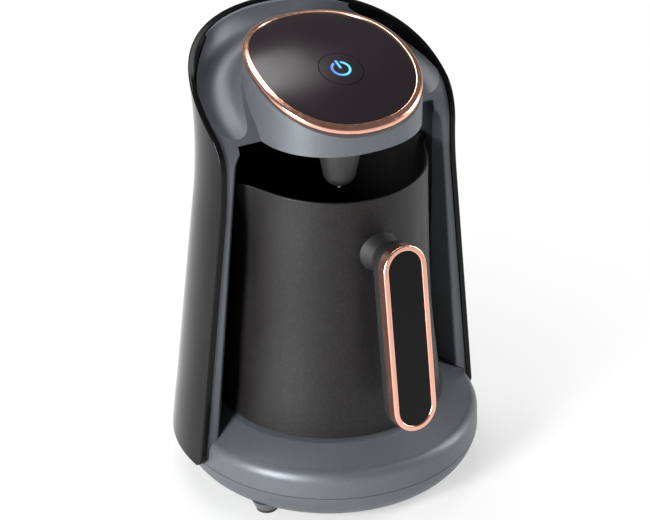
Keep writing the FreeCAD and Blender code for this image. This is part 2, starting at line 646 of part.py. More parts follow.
def bay_tool():
    """The pot bay: a round cone round the pot and a mouth that widens to the front."""
    cone = turned("bay_cone", [
        ("0", "0"),
        ("bay_foot_radius", "0"),
        ("bay_top_radius", "arch_top"),
        ("0", "arch_top"),
    ])
    sections = []
    for name, inset, y in (("mouth_far", "0", "-1.5 * shell_foot_radius"),
                           ("mouth_wide", "0", "shell_front + bezel_drop"),
                           ("mouth_narrow", "mouth_taper", "shell_front + mouth_depth")):
        holder = doc.addObject("PartDesign::Body", name)
        sketch = new_sketch(holder, "front")
        outline(sketch, arch_points(inset))
        bind(holder, Placement__Base__y=y)
        sections.append(holder)
    doc.recompute()
    wires = []
    for holder in sections:
        sketch = holder.Group[0]
        wire = sketch.Shape.Wires[0].copy()
        wire.Placement = holder.Placement.multiply(sketch.Placement)
        wires.append(wire)
    taper = fixed("bay_taper", Part.makeLoft(wires, True, True))
    return fuse("bay", cone, taper)


EGG_POWER = 2.2
EGG_STEPS = 28


def egg_wire(grow, z):
    """The head's egg outline, grown outwards, as one closed smooth curve at a height."""
    half = size("egg_half_width") + grow
    middle = size("egg_widest")
    front = size("egg_front") + grow
    back = size("egg_back") + grow
    points = []
    for k in range(EGG_STEPS):
        angle = 2 * math.pi * k / EGG_STEPS
        c, s = math.cos(angle), math.sin(angle)
        x = half * math.copysign(abs(c) ** (2 / EGG_POWER), c)
        reach = back if s >= 0 else front
        y = middle + reach * math.copysign(abs(s) ** (2 / EGG_POWER), s)
        points.append(FreeCAD.Vector(x, y, z))
    curve = Part.BSplineCurve()
    curve.interpolate(points, PeriodicFlag=True)
    return Part.Wire(curve.toShape())


def egg_prism(grow, low, high):
    """An upright prism on the egg outline."""
    return Part.Face(egg_wire(grow, low)).extrude(FreeCAD.Vector(0, 0, high - low))


DOME_SWING = 12.0


def dome_solid(lift, depth):
    """The space between two domed surfaces that follow the top of the head."""
    long_radius, cross = size("dome_long"), size("dome_cross")
    span, swing = long_radius / 2, DOME_SWING
    top = long_radius + lift
    arc = []
    for radius in (top, top - depth):
        a = span / long_radius
        ends = [FreeCAD.Vector(0, radius * math.sin(q * a), cross - long_radius + radius * math.cos(q * a))
                for q in (-1, 0, 1)]
        arc.append(ends)
    upper = Part.Arc(*arc[0]).toShape()
    lower = Part.Arc(*arc[1]).toShape()
    face = Part.Face(Part.Wire([upper, Part.makeLine(arc[0][2], arc[1][2]), lower.reversed(),
                                Part.makeLine(arc[1][0], arc[0][0])]))
    axis = FreeCAD.Vector(0, 1, 0)
    face.rotate(FreeCAD.Vector(0, 0, 0), axis, -swing)
    slab = face.revolve(FreeCAD.Vector(0, 0, 0), axis, 2 * swing)
    slab.translate(FreeCAD.Vector(0, 0, -cross))
    slab.rotate(FreeCAD.Vector(0, 0, 0), FreeCAD.Vector(1, 0, 0), size("dome_tilt"))
    slab.translate(FreeCAD.Vector(0, size("dome_y"), size("dome_height")))
    return slab


def panel_frame():
    """Placement at the button: local +Z is the panel's outward normal."""
    spin = FreeCAD.Rotation(FreeCAD.Vector(1, 0, 0), size("dome_tilt"))
    return FreeCAD.Placement(FreeCAD.Vector(0, size("dome_y"), size("dome_height")), spin)


def at_panel(shape):
    """Move a shape made about the button's axis to its place on the panel."""
    moved = shape.copy()
    moved.Placement = panel_frame().multiply(moved.Placement)
    return moved


def back_hollow():
    """The space between the shell and the wall round the back of the pot bay."""
    narrowing = "(bay_foot_radius - bay_top_radius) / arch_top"
    low, high = "plate_top + base_wall", "arch_top - head_wall"
    ring = turned("hollow_ring", [
        (f"bay_foot_radius - ({low}) * {narrowing} + bay_wall", low),
        ("2 * shell_foot_radius", low),
        ("2 * shell_foot_radius", high),
        (f"bay_foot_radius - ({high}) * {narrowing} + bay_wall", high),
    ])
    back = block("hollow_back", "4 * shell_foot_radius", "2 * shell_foot_radius", "2 * shell_top",
                 x="-2 * shell_foot_radius", y="back_open")
    return common("hollow", ring, back)


def front_bezel():
    """The gunmetal moulding: arch band, scoop and the head's upright wall, with the bay open."""
    column = shell_solid("bezel_column", "shell_wall + bezel_gap", "shell_bottom + shell_lift")
    keep_zone = behind_rim("bezel_keep", "bezel_drop", "shell_bottom + shell_lift / 2")
    scoop = doc.addObject("Part::Torus", "scoop")
    bind(scoop, Radius1="scoop_ring", Radius2="scoop_radius")
    lift = "rim_bend_height + rim_bend * sin(rim_turn) + scoop_lift"
    put(scoop, y="scoop_y", z=lift, turn=((1, 0, 0), "scoop_tilt"))
    bay = bay_tool()
    doc.recompute()
    grow, wall, ring = size("ring_width"), size("head_wall"), size("ring_height")
    low, high = size("arch_top"), size("shell_top + ring_height")
    under_ring = dome_solid(size("ring_proud - assembly_gap") - ring, high - low)
    head = egg_prism(grow, low, high).common(under_ring)
    hollow = egg_prism(grow - wall, low + wall, high)
    nose = Part.makeCylinder(size("nose_hole"), 2 * ring,
                             FreeCAD.Vector(size("nose_x"), size("nose_y"), low - ring))
    band = common("bezel_trim", column, keep_zone)
    carved = cut("bezel_carved", band, scoop, bay, base_envelope("bezel_base"), back_hollow())
    body = fuse("bezel_fuse", carved, fixed("head_block", head))
    whole = cut("bezel_cut", body, fixed("head_hollow", hollow), fixed("nose_hole", nose))
    doc.recompute()
    mouth = shared_edges(whole.Shape, keep_zone.Shape, bay.Shapes[1].Shape)
    keep(fixed("bezel_round", whole.Shape.makeFillet(size("bezel_round"), mouth)), "front_bezel")


def cavity_liner():
    """The thin dark liner round the back of the pot bay."""
    narrowing = "(bay_foot_radius - bay_top_radius) / arch_top"
    low, high = "plate_top + liner_wall", "arch_top - liner_gap"
    outer_low = f"bay_foot_radius - ({low}) * {narrowing} - liner_gap"
    outer_high = f"bay_foot_radius - ({high}) * {narrowing} - liner_gap"
    ring = turned("liner_ring", [
        (f"{outer_low} - liner_wall", low),
        (outer_low, low),
        (outer_high, high),
        (f"{outer_high} - liner_wall", high),
    ])
    back = block("liner_back", "4 * bay_foot_radius", "2 * bay_foot_radius", "2 * arch_top",
                 x="-2 * bay_foot_radius", y="liner_front")
    keep(common("liner", ring, back), "cavity_liner")


def head_parts():
    """Ring, panel, button and symbol of the head."""
    depth = size("ring_height")
    low, high = size("arch_top") + depth, size("shell_top") + depth
    tall = high - low
    grow = size("ring_width")
    below = FreeCAD.Vector(0, 0, -tall / 2)
    button_hole = at_panel(Part.makeCylinder(size("button_radius + button_gap"), tall, below))
    outside, inside = egg_prism(grow, low, high), egg_prism(0.0, low, high)
    dome = dome_solid(size("ring_proud"), depth)
    ring = outside.cut(inside).common(dome)
    for skin, radius in ((outside, size("ring_round")), (inside, size("ring_round_in"))):
        edges = [e for e in shared_edges(ring, skin, dome) if e.Length > depth]
        ring = ring.makeFillet(radius, edges)
    keep(fixed("ring", ring), "trim_ring")
    panel = egg_prism(-size("panel_gap"), low, high).common(dome_solid(0.0, size("panel_thickness")))
    keep(fixed("panel", panel.cut(button_hole)), "top_panel")
    barrel = at_panel(Part.makeCylinder(size("button_radius"), tall, below))
    button = barrel.common(dome_solid(-size("assembly_gap"), size("button_depth")))
    middle, half = size("symbol_radius"), size("symbol_line") / 2
    arc = Part.makeCylinder(middle + half, tall, below).cut(Part.makeCylinder(middle - half, tall, below))
    notch_half = 3 * half
    notch = Part.makeBox(2 * notch_half, 2 * middle, tall, FreeCAD.Vector(-notch_half, 0, -tall / 2))
    stem = Part.makeBox(2 * half, middle + 2 * half, tall, FreeCAD.Vector(-half, half / 3, -tall / 2))
    symbol = at_panel(arc.cut(notch).fuse(stem)).common(dome_solid(0.0, size("symbol_depth")))
    keep(fixed("symbol", symbol), "power_symbol")
    keep(fixed("button", button.cut(symbol)), "power_button")
    switch_stack()


def switch_stack():
    """Switch, board, lamp and buzzer under the button, stacked along the button's axis."""
    stack = panel_frame()
    gap = size("switch_gap")
    top = -size("button_depth + button_travel + assembly_gap") - gap
    tall, side = size("switch_height"), size("switch_size")
    thick = size("board_thickness")
    length, width = size("control_length"), size("control_width")
    plunger = Part.makeCylinder(side / 4, gap, FreeCAD.Vector(0, 0, top - gap))
    top -= gap
    switch = Part.makeBox(side, side, tall, FreeCAD.Vector(-side / 2, -side / 2, top - tall))
    board_top = top - tall
    corner = FreeCAD.Vector(-length / 2, side - width / 2, board_top - thick)
    board = Part.makeBox(length, width, thick, corner)
    lamp = Part.makeBox(side / 2, side / 3, side / 4, FreeCAD.Vector(-side / 4, side, board_top))
    aside = size("button_radius + button_gap + buzzer_gap + buzzer_radius") * math.sqrt(0.5)
    buzzer = Part.makeCylinder(size("buzzer_radius"), size("buzzer_height"),
                               FreeCAD.Vector(aside, aside, board_top))
    for node, shape in (("tact_switch", switch.fuse(plunger)), ("control_board", board),
                        ("indicator_lamp", lamp), ("buzzer", buzzer)):
        shape.Placement = stack.multiply(shape.Placement)
        keep(fixed(node + "_solid", shape), node)


def level_sensor():
    """The rounded sensor nose under the head, with its steel pin."""
    x, y = size("nose_x"), size("nose_y")
    top = size("arch_top - assembly_gap")
    radius, drop, needle = size("nose_radius"), size("nose_drop"), size("nose_pin")
    tip = radius * 0.75
    profile = [FreeCAD.Vector(0, 0, top), FreeCAD.Vector(radius, 0, top),
               FreeCAD.Vector(tip, 0, top - drop + tip * 0.8)]
    curve = Part.Arc(profile[2], FreeCAD.Vector(tip * 0.72, 0, top - drop + tip * 0.22),
                     FreeCAD.Vector(0, 0, top - drop)).toShape()
    wire = Part.Wire([Part.makeLine(profile[0], profile[1]), Part.makeLine(profile[1], profile[2]), curve,
                      Part.makeLine(FreeCAD.Vector(0, 0, top - drop), profile[0])])
    nose = Part.Face(wire).revolve(FreeCAD.Vector(0, 0, 0), FreeCAD.Vector(0, 0, 1), 360)
    stud = Part.makeCylinder(size("nose_hole - screw_clearance"), 2 * size("head_wall"),
                             FreeCAD.Vector(0, 0, top))
    bore = Part.makeCylinder(needle + size("assembly_gap"), 4 * tip,
                             FreeCAD.Vector(0, 0, top - drop - 3 * tip))
    body = nose.fuse(stud).cut(bore)
    body.translate(FreeCAD.Vector(x, y, 0))
    keep(fixed("nose", body), "sensor_nose")
    pin_body = Part.makeCylinder(needle, tip, FreeCAD.Vector(x, y, top - drop - tip / 4))
    keep(fixed("nose_pin", pin_body), "sensor_pin")


POT_STEPS = 36
SPOUT_SPREAD = 0.17
MID_SHARE = 0.56
LOW_SHARE = 0.28


def pot_ring(z, radius, spout):
    """One level section of the pot, with a spout on each side."""
    points = []
    for k in range(POT_STEPS):
        angle = 2 * math.pi * k / POT_STEPS
        r = radius + spout * math.exp(-(math.sin(angle) / SPOUT_SPREAD) ** 2)
        points.append(FreeCAD.Vector(r * math.cos(angle), r * math.sin(angle), z))
    curve = Part.BSplineCurve()
    curve.interpolate(points, PeriodicFlag=True)
    return Part.Wire(curve.toShape())


def pot_loft(inset, bottom, extra):
    """The pot's outer or inner form as a loft through level sections."""
    rim = size("pot_rim_height") + size("spout_rise") + extra
    foot = size("pot_foot_radius") - inset
    middle = size("pot_mid_radius") - inset
    top = size("pot_rim_radius") - inset
    spout, depth, waist = size("spout_reach"), size("spout_depth"), size("pot_lip")
    low, tall = size("plate_top + pot_gap"), size("pot_height")
    rings = [
        pot_ring(bottom, foot, 0.0),
        pot_ring(low + LOW_SHARE * tall, (foot + middle) / 2 - waist, 0.0),
        pot_ring(low + MID_SHARE * tall, middle, 0.0),
        pot_ring(rim - depth, top + waist, 0.0),
        pot_ring(rim - depth / 3, top, spout * MID_SHARE),
        pot_ring(rim, top, spout),
    ]
    return Part.makeLoft(rings, True, False)


def pot():
    """The pot: tapered body with two spouts, wavy rim with a rounded lip."""
    low = size("plate_top + pot_gap")
    wall = size("pot_wall")
    outer = pot_loft(0.0, low, 0.0)
    inner = pot_loft(wall, low + size("pot_floor"), wall)
    rise, rim = size("spout_rise"), size("pot_rim_height")
    reach = size("pot_rim_radius + 2 * spout_reach")
    left, right = FreeCAD.Vector(-reach, -reach, rim + rise), FreeCAD.Vector(reach, -reach, rim + rise)
    above = FreeCAD.Vector(0, 0, reach)
    wave = Part.Arc(left, FreeCAD.Vector(0, -reach, rim), right).toShape()
    sides = [Part.makeLine(right, right + above), Part.makeLine(right + above, left + above),
             Part.makeLine(left + above, left)]
    lid = Part.Face(Part.Wire([wave] + sides)).extrude(FreeCAD.Vector(0, 2 * reach, 0))
    body = outer.cut(lid).cut(inner)
    lip = [e for e in body.Edges if e.BoundBox.ZMin > rim - rise]
    keep(fixed("pot", body.makeFillet(size("pot_lip"), lip)), "pot_body")
    return outer


def capsule(name, width, length, start, depth):
    """An upright capsule in the handle's own frame, padded away from its face."""
    half, side = f"({width}) / 2", f"(({length}) - ({width})) / 2"
    body = padded(name, "front", [
        (half, side),
        ("0", f"{side} + {half}", half, "left"),
        (f"-{half}", side, half, "left"),
        (f"-{half}", f"-{side}"),
        ("0", f"-({side} + {half})", half, "left"),
        (half, f"-{side}", half, "left"),
    ], depth, back=True)
    return put(body, y=start)


def on_handle(shape, node):
    """Put a shape made in the handle's own frame at its place on the pot."""
    lean = FreeCAD.Rotation(FreeCAD.Vector(1, 0, 0), -size("handle_tilt"))
    centre = FreeCAD.Vector(0, size("handle_face_y"), size("handle_face_z"))
    placed = shape.copy()
    placed.Placement = FreeCAD.Placement(centre, lean).multiply(placed.Placement)
    return keep(fixed(node + "_solid", placed), node)


def handle(pot_outer):
    """Handle frame, insert, back and neck."""
    inner_width, inner_length = "handle_width - 2 * handle_rim", "handle_length - 2 * handle_rim"
    frame = cut("frame_cut",
                capsule("frame_outer", "handle_width", "handle_length", "0", "handle_frame_depth"),
                capsule("frame_inner", inner_width, inner_length, "-handle_edge",
                        "handle_frame_depth + 2 * handle_edge"))
    insert = capsule("insert", f"{inner_width} - 2 * handle_fit", f"{inner_length} - 2 * handle_fit",
                     "insert_sink", "handle_frame_depth - insert_sink - handle_fit")
    back = capsule("back", "handle_width - insert_sink", "handle_length - insert_sink",
                   "handle_frame_depth + assembly_gap", "handle_back_depth")
    doc.recompute()
    front = min(frame.Shape.Faces, key=lambda f: f.CenterOfMass.y)
    on_handle(frame.Shape.makeFillet(size("handle_edge"), front.Edges), "handle_frame")
    on_handle(insert.Shape, "handle_insert")
    rear = max(back.Shape.Faces, key=lambda f: f.CenterOfMass.y)
    back_node = on_handle(back.Shape.makeFillet(size("handle_back_round"), rear.Edges), "handle_back")
    handle_neck(pot_outer, back_node)


def handle_neck(pot_outer, back_node):
    """The flared neck between pot and handle."""
    height, rim = size("neck_height"), size("pot_rim_radius")
    foot, waist = size("neck_foot_radius"), size("neck_waist_radius")
    start, end = -rim + 2 * size("handle_edge"), -rim - size("neck_length")
    bend = -rim - size("neck_flare")
    a, b = FreeCAD.Vector(0, start, height), FreeCAD.Vector(foot, start, height)
    c, d = FreeCAD.Vector(waist, bend, height), FreeCAD.Vector(waist + size("handle_edge"), end, height)
    third = FreeCAD.Vector(waist + (foot - waist) / 3.3, (start + 2 * bend) / 3, height)
    wire = Part.Wire([Part.makeLine(a, b), Part.Arc(b, third, c).toShape(), Part.makeLine(c, d),
                      Part.makeLine(d, FreeCAD.Vector(0, end, height)),
                      Part.makeLine(FreeCAD.Vector(0, end, height), a)])
    neck = Part.Face(wire).revolve(a, FreeCAD.Vector(0, 1, 0), 360)
    neck = neck.cut(pot_outer).cut(back_node.Shape)
    keep(fixed("neck", max(neck.Solids, key=lambda solid: solid.Volume)), "handle_neck")


def build():
    """Build every sub-part."""
    base_pan()
    foot_pads()
    base_screws()
    base_cover()
    hot_plate()
    sensor_spring()
    electrics()
    outer_shell()
    front_bezel()
    cavity_liner()
    head_parts()
    level_sensor()
    handle(pot())


def check_and_write():
    """Check every object and write the sub-parts."""
    doc.recompute()
    for obj in doc.Objects:
        if "Invalid" in obj.State or "Error" in obj.State:
            raise RuntimeError(f"{obj.Name} failed: {obj.State}")
    for node, obj in SUBPARTS.items():
        shape = obj.Shape
        if shape.isNull() or not shape.isValid() or shape.Volume <= 0:
            raise RuntimeError(f"{node} has no valid solid")
        print(node, len(shape.Solids), round(shape.Volume, 1))
        shape.exportStep(f"parts/{node}.step")


build()
check_and_write()
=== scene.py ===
"""Looks of the electric coffee maker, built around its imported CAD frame."""

import json
import logging
from dataclasses import dataclass, field
from enum import Enum

import bmesh
import bpy
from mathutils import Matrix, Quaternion, Vector


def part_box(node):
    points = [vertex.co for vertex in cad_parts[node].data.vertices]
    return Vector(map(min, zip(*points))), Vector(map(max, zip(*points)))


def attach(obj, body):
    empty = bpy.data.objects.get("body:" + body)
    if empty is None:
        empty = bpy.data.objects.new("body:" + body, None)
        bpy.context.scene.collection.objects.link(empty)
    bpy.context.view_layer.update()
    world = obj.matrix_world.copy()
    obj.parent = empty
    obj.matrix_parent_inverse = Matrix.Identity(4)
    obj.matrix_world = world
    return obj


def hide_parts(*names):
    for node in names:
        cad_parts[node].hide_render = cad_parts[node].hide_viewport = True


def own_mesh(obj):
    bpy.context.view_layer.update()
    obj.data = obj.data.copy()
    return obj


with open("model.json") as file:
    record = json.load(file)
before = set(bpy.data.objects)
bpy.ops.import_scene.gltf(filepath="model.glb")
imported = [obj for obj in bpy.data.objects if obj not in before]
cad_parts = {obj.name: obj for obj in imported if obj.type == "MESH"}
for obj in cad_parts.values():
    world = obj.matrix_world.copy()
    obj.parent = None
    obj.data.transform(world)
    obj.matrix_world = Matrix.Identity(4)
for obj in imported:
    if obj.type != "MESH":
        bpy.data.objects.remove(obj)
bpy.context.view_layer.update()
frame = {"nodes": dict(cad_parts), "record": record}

LOG = logging.getLogger("coffee_maker")
Colour = tuple[float, float, float]
Point = tuple[float, float, float]
Range = tuple[float, float]
Socket = bpy.types.NodeSocket

FULL: Range = (0.0, 1.0)
MIDDLE: Range = (0.3, 0.7)
EVEN: Point = (1.0, 1.0, 1.0)
MERGE_DISTANCE = 1e-6
MIX_FACTOR, MIX_FIRST, MIX_SECOND, MIX_RESULT = 0, 6, 7, 2


def opaque(colour: Colour) -> tuple[float, float, float, float]:
    """The colour with full alpha."""
    return (*colour, 1.0)


def facing(place: Point, target: Point) -> Quaternion:
    """The turn of a lamp or camera that looks from a place at a target."""
    return (Vector(target) - Vector(place)).to_track_quat("-Z", "Y")


class Body(Enum):
    """The rigid body that a new piece rides on."""

    ROOT = "root"


class Lay(Enum):
    """Which way the fine lines of bare metal run."""

    ALONG = "along"
    ROUND = "round"


class Wiring:
    """Short calls that add to a node tree."""

    def __init__(self, tree: bpy.types.NodeTree) -> None:
        """Keep the tree.

        Args:
            tree: The node tree to add to.
        """
        self.tree = tree

    def node(self, kind: str, **values: object) -> bpy.types.Node:
        """Add a node.

        Args:
            kind: The node's type name.
            values: Node properties to set.

        Returns:
            The new node.
        """
        made = self.tree.nodes.new(kind)
        for key, value in values.items():
            setattr(made, key, value)
        return made

    def link(self, source: Socket, target: Socket) -> None:
        """Join two sockets."""
        self.tree.links.new(source, target)

    def remap(self, value: Socket, taken: Range, given: Range, **values: object) -> Socket:
        """Spread part of a value's range to another range, clamped.

        Args:
            value: The value.
            taken: The part of its range that is used.
            given: What that part becomes.
            values: Node properties to set.

        Returns:
            The new value.
        """
        made = self.node("ShaderNodeMapRange", **values)
        for sockets, numbers in ((("From Min", "From Max"), taken), (("To Min", "To Max"), given)):
            for socket, number in zip(sockets, numbers):
                made.inputs[socket].default_value = number
        self.link(value, made.inputs["Value"])
        return made.outputs["Result"]

    def reckon(self, operation: str, first: Socket, second: Socket | float) -> Socket:
        """Work out one value from two.

        Args:
            operation: The Math node's operation.
            first: The first value.
            second: The second value, or a plain number.

        Returns:
            The result.
        """
        made = self.node("ShaderNodeMath", operation=operation)
        self.link(first, made.inputs[0])
        if isinstance(second, float):
            made.inputs[1].default_value = second
        else:
            self.link(second, made.inputs[1])
        return made.outputs[0]

    def choose(self, share: Socket, first: Socket, second: Socket, target: Socket) -> None:
        """Mix two shaders by a share and send the result on.

        Args:
            share: How much of the second shader is taken.
            first: The first shader.
            second: The second shader.
            target: The socket that takes the result.
        """
        made = self.node("ShaderNodeMixShader")
        self.link(share, made.inputs["Fac"])
        self.link(first, made.inputs[1])
        self.link(second, made.inputs[2])
        self.link(made.outputs[0], target)


@dataclass(frozen=True)
class Relief:
    """Fine relief of a surface."""

    scale: float
    detail: float
    strength: float
    depth: float


class Recipe(Wiring):
    """A material with one Principled shader, and short calls that add to it."""

    def __init__(self, name: str) -> None:
        """Start a material.

        Args:
            name: The material's name.
        """
        self.material = bpy.data.materials.new(name)
        self.material.use_nodes = True
        super().__init__(self.material.node_tree)
        self.shader = self.tree.nodes["Principled BSDF"]
        self.place = self.node("ShaderNodeTexCoord").outputs["Object"]

    def fixed(self, **values: float) -> None:
        """Set plain values on the shader, with spaces written as underscores."""
        for key, value in values.items():
            self.shader.inputs[key.replace("_", " ")].default_value = value

    def noise(self, scale: float, detail: float, stretch: Point = EVEN) -> Socket:
        """A noise field on object coordinates.

        Args:
            scale: Noise scale per metre.
            detail: Octaves.
            stretch: Scale of each axis.

        Returns:
            The noise value, about 0 to 1.
        """
        mapping = self.node("ShaderNodeMapping")
        mapping.inputs["Scale"].default_value = stretch
        self.link(self.place, mapping.inputs["Vector"])
        made = self.node("ShaderNodeTexNoise")
        made.inputs["Scale"].default_value = scale
        made.inputs["Detail"].default_value = detail
        self.link(mapping.outputs["Vector"], made.inputs["Vector"])
        return made.outputs["Fac"]

    def blend(self, factor: Socket, first: Colour, second: Colour) -> Socket:
        """Mix two colours.

        Args:
            factor: How much of the second colour is taken.
            first: The first colour.
            second: The second colour.

        Returns:
            The mixed colour.
        """
        made = self.node("ShaderNodeMix", data_type="RGBA")
        made.inputs[MIX_FIRST].default_value = opaque(first)
        made.inputs[MIX_SECOND].default_value = opaque(second)
        self.link(factor, made.inputs[MIX_FACTOR])
        return made.outputs[MIX_RESULT]

    def paint(self, colour: Socket) -> None:
        """Use a colour field as the base colour."""
        self.link(colour, self.shader.inputs["Base Color"])

    def roughen(self, value: Socket) -> None:
        """Use a value field as the roughness."""
        self.link(value, self.shader.inputs["Roughness"])

    def bump(self, height: Socket, strength: float, depth: float) -> None:
        """Raise and sink the surface by a field.

        Args:
            height: The relief field.
            strength: Share of the relief.
            depth: Depth of the relief in metres.
        """
        made = self.node("ShaderNodeBump")
        made.inputs["Strength"].default_value = strength
        made.inputs["Distance"].default_value = depth
        self.link(height, made.inputs["Height"])
        self.link(made.outputs["Normal"], self.shader.inputs["Normal"])

    def carve(self, relief: Relief) -> None:
        """Give the surface a noise relief."""
        self.bump(self.noise(relief.scale, relief.detail), relief.strength, relief.depth)


@dataclass(frozen=True)
class SatinPaint:
    """Metallic satin paint with fine flakes and a slight orange peel."""

    name: str
    colour: Colour
    flake: Colour
    metallic: float = 0.35
    roughness: float = 0.43
    uneven: float = 0.04
    lacquer: float = 0.05
    lacquer_roughness: float = 0.4
    flake_scale: float = 5200.0
    flake_range: Range = (0.45, 0.72)
    cloud_scale: float = 34.0
    peel: Relief = Relief(2600.0, 1.0, 0.12, 0.00006)

    def make(self) -> bpy.types.Material:
        """Build the material."""
        recipe = Recipe(self.name)
        recipe.fixed(Metallic=self.metallic, Coat_Weight=self.lacquer, Coat_Roughness=self.lacquer_roughness)
        flakes = recipe.remap(recipe.noise(self.flake_scale, 1.0), self.flake_range, FULL)
        recipe.paint(recipe.blend(flakes, self.colour, self.flake))
        spread = (self.roughness - self.uneven, self.roughness + self.uneven)
        recipe.roughen(recipe.remap(recipe.noise(self.cloud_scale, 3.0), MIDDLE, spread))
        recipe.carve(self.peel)
        return recipe.material


@dataclass(frozen=True)
class GlossPlastic:
    """Polished moulded plastic with the faint waviness and smears of a real moulding."""

    name: str
    colour: Colour
    roughness: float
    specular: float
    tint_gain: float = 1.5
    tint_scale: float = 12.0
    smear_scale: float = 26.0
    smear_stretch: Point = (1.0, 1.0, 0.35)
    smear_range: Range = (0.3, 0.75)
    smear_gain: float = 1.8
    waves: Relief = Relief(16.0, 1.0, 0.05, 0.0004)

    def make(self) -> bpy.types.Material:
        """Build the material."""
        recipe = Recipe(self.name)
        recipe.fixed(Specular_IOR_Level=self.specular)
        tint = tuple(channel * self.tint_gain for channel in self.colour)
        recipe.paint(recipe.blend(recipe.noise(self.tint_scale, 2.0), self.colour, tint))
        smears = recipe.noise(self.smear_scale, 4.0, self.smear_stretch)
        spread = (self.roughness, self.roughness * self.smear_gain)
        recipe.roughen(recipe.remap(smears, self.smear_range, spread))
        recipe.carve(self.waves)
        return recipe.material


@dataclass(frozen=True)
class PlatedMetal:
    """Polished plating with tiny wipe marks."""

    name: str
    colour: Colour
    deep: Colour
    roughness: float = 0.17
    tone_scale: float = 60.0
    wipe_scale: float = 420.0
    wipe_stretch: Point = (1.0, 1.0, 0.2)
    wipe_roughness: float = 0.09
    scratches: Relief = Relief(1500.0, 2.0, 0.06, 0.00004)

    def make(self) -> bpy.types.Material:
        """Build the material."""
        recipe = Recipe(self.name)
        recipe.fixed(Metallic=1.0)
        recipe.paint(recipe.blend(recipe.noise(self.tone_scale, 3.0), self.colour, self.deep))
        wipes = recipe.noise(self.wipe_scale, 3.0, self.wipe_stretch)
        spread = (self.roughness, self.roughness + self.wipe_roughness)
        recipe.roughen(recipe.remap(wipes, MIDDLE, spread))
        recipe.carve(self.scratches)
        return recipe.material


@dataclass(frozen=True)
class SparkleCoating:
    """Dark non-stick coating with scattered bright flecks."""

    name: str
    colour: Colour
    fleck: Colour
    roughness: float = 0.48
    specular: float = 0.30
    smoother: float = 0.04
    rougher: float = 0.05
    fleck_scale: float = 5200.0
    fleck_range: Range = (0.64, 0.74)
    cloud_scale: float = 90.0
    pits: Relief = Relief(2200.0, 2.0, 0.25, 0.00008)

    def make(self) -> bpy.types.Material:
        """Build the material."""
        recipe = Recipe(self.name)
        recipe.fixed(Specular_IOR_Level=self.specular)
        flecks = recipe.remap(recipe.noise(self.fleck_scale, 0.0), self.fleck_range, FULL)
        recipe.paint(recipe.blend(flecks, self.colour, self.fleck))
        spread = (self.roughness - self.smoother, self.roughness + self.rougher)
        recipe.roughen(recipe.remap(recipe.noise(self.cloud_scale, 3.0), MIDDLE, spread))
        recipe.carve(self.pits)
        return recipe.material


@dataclass(frozen=True)
class TexturedPlastic:
    """Moulded plastic with a fine spark-eroded grain."""

    name: str
    colour: Colour
    light: Colour
    roughness: float = 0.45
    uneven: float = 0.06
    tone_scale: float = 240.0
    cloud_scale: float = 80.0
    grain: Relief = Relief(3000.0, 2.0, 0.35, 0.00005)

    def make(self) -> bpy.types.Material:
        """Build the material."""
        recipe = Recipe(self.name)
        recipe.paint(recipe.blend(recipe.noise(self.tone_scale, 4.0), self.colour, self.light))
        spread = (self.roughness - self.uneven, self.roughness + self.uneven)
        recipe.roughen(recipe.remap(recipe.noise(self.cloud_scale, 3.0), MIDDLE, spread))
        recipe.carve(self.grain)
        return recipe.material


@dataclass(frozen=True)
class BrushedMetal:
    """Bare metal with fine lines round or along it."""

    name: str
    colour: Colour
    shade: Colour
    roughness: float = 0.3
    lay: Lay = Lay.ALONG
    metallic: float = 0.9
    ring_scale: float = 180.0
    ring_wobble: float = 0.6
    line_scale: float = 700.0
    line_stretch: Point = (1.0, 0.05, 1.0)
    line_range: Range = (0.2, 0.8)
    smoother: float = 0.05
    rougher: float = 0.08
    strength: float = 0.2
    depth: float = 0.00005

    def lines(self, recipe: Recipe) -> Socket:
        """The field of fine lines.

        Args:
            recipe: The material's recipe.

        Returns:
            The field, 0 to 1.
        """
        if self.lay is Lay.ALONG:
            return recipe.noise(self.line_scale, 3.0, self.line_stretch)
        wave = recipe.node("ShaderNodeTexWave", wave_type="RINGS", rings_direction="Z")
        wave.inputs["Scale"].default_value = self.ring_scale
        wave.inputs["Distortion"].default_value = self.ring_wobble
        recipe.link(recipe.place, wave.inputs["Vector"])
        return wave.outputs["Fac"]

    def make(self) -> bpy.types.Material:
        """Build the material."""
        recipe = Recipe(self.name)
        recipe.fixed(Metallic=self.metallic)
        lines = self.lines(recipe)
        recipe.paint(recipe.blend(lines, self.colour, self.shade))
        spread = (self.roughness - self.smoother, self.roughness + self.rougher)
        recipe.roughen(recipe.remap(lines, self.line_range, spread))
        recipe.bump(lines, self.strength, self.depth)
        return recipe.material


@dataclass(frozen=True)
class CircuitBoard:
    """Green solder mask with copper tracks under it."""

    name: str
    mask: Colour = (0.012, 0.09, 0.035)
    track: Colour = (0.05, 0.22, 0.07)
    scale: float = 90.0
    track_width: float = 0.06
    spread: Range = (0.32, 0.22)
    strength: float = 0.4
    depth: float = 0.00005

    def make(self) -> bpy.types.Material:
        """Build the material."""
        recipe = Recipe(self.name)
        brick = recipe.node("ShaderNodeTexBrick")
        brick.inputs["Scale"].default_value = self.scale
        brick.inputs["Mortar Size"].default_value = self.track_width
        recipe.link(recipe.place, brick.inputs["Vector"])
        tracks = brick.outputs["Fac"]
        recipe.paint(recipe.blend(tracks, self.mask, self.track))
        recipe.roughen(recipe.remap(tracks, FULL, self.spread))
        recipe.bump(tracks, self.strength, self.depth)
        return recipe.material


